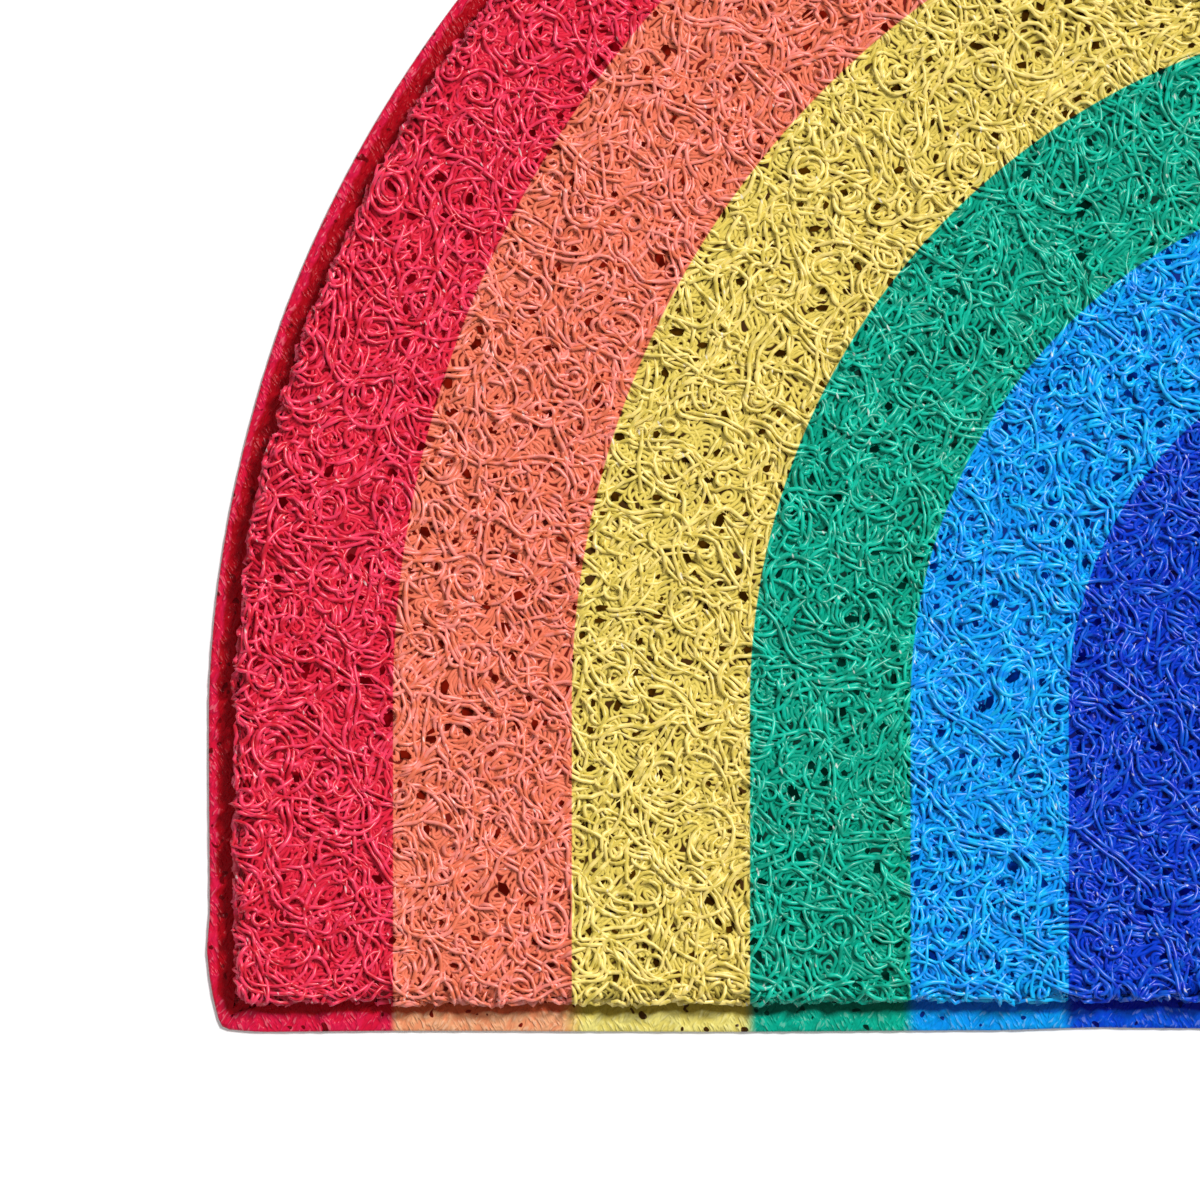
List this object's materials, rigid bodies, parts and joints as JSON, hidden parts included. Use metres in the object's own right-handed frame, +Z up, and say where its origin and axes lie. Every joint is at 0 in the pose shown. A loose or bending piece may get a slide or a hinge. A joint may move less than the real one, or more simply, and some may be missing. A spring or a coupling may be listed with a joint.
{
  "type": "half moon doormat",
  "caption": "Half moon doormat of fused vinyl coils with printed rainbow bands and a pressed flat rim, laid at a door to scrape shoes.",
  "frame": {"origin": "middle of the underside's box, on the surface that the mat lies on", "axes": "+X along the straight edge to the right, +Y from the straight edge to the top of the arch, +Z up through the mat"},
  "size_m": [0.7018, 0.4388, 0.012],
  "materials": {
    "printed_coil_vinyl": "satin vinyl threads, printed in bands of red, coral, yellow, green, sky blue and dark blue"
  },
  "bodies": {
    "root": {"coil_mat": "printed_coil_vinyl"}
  },
  "joints": []
}
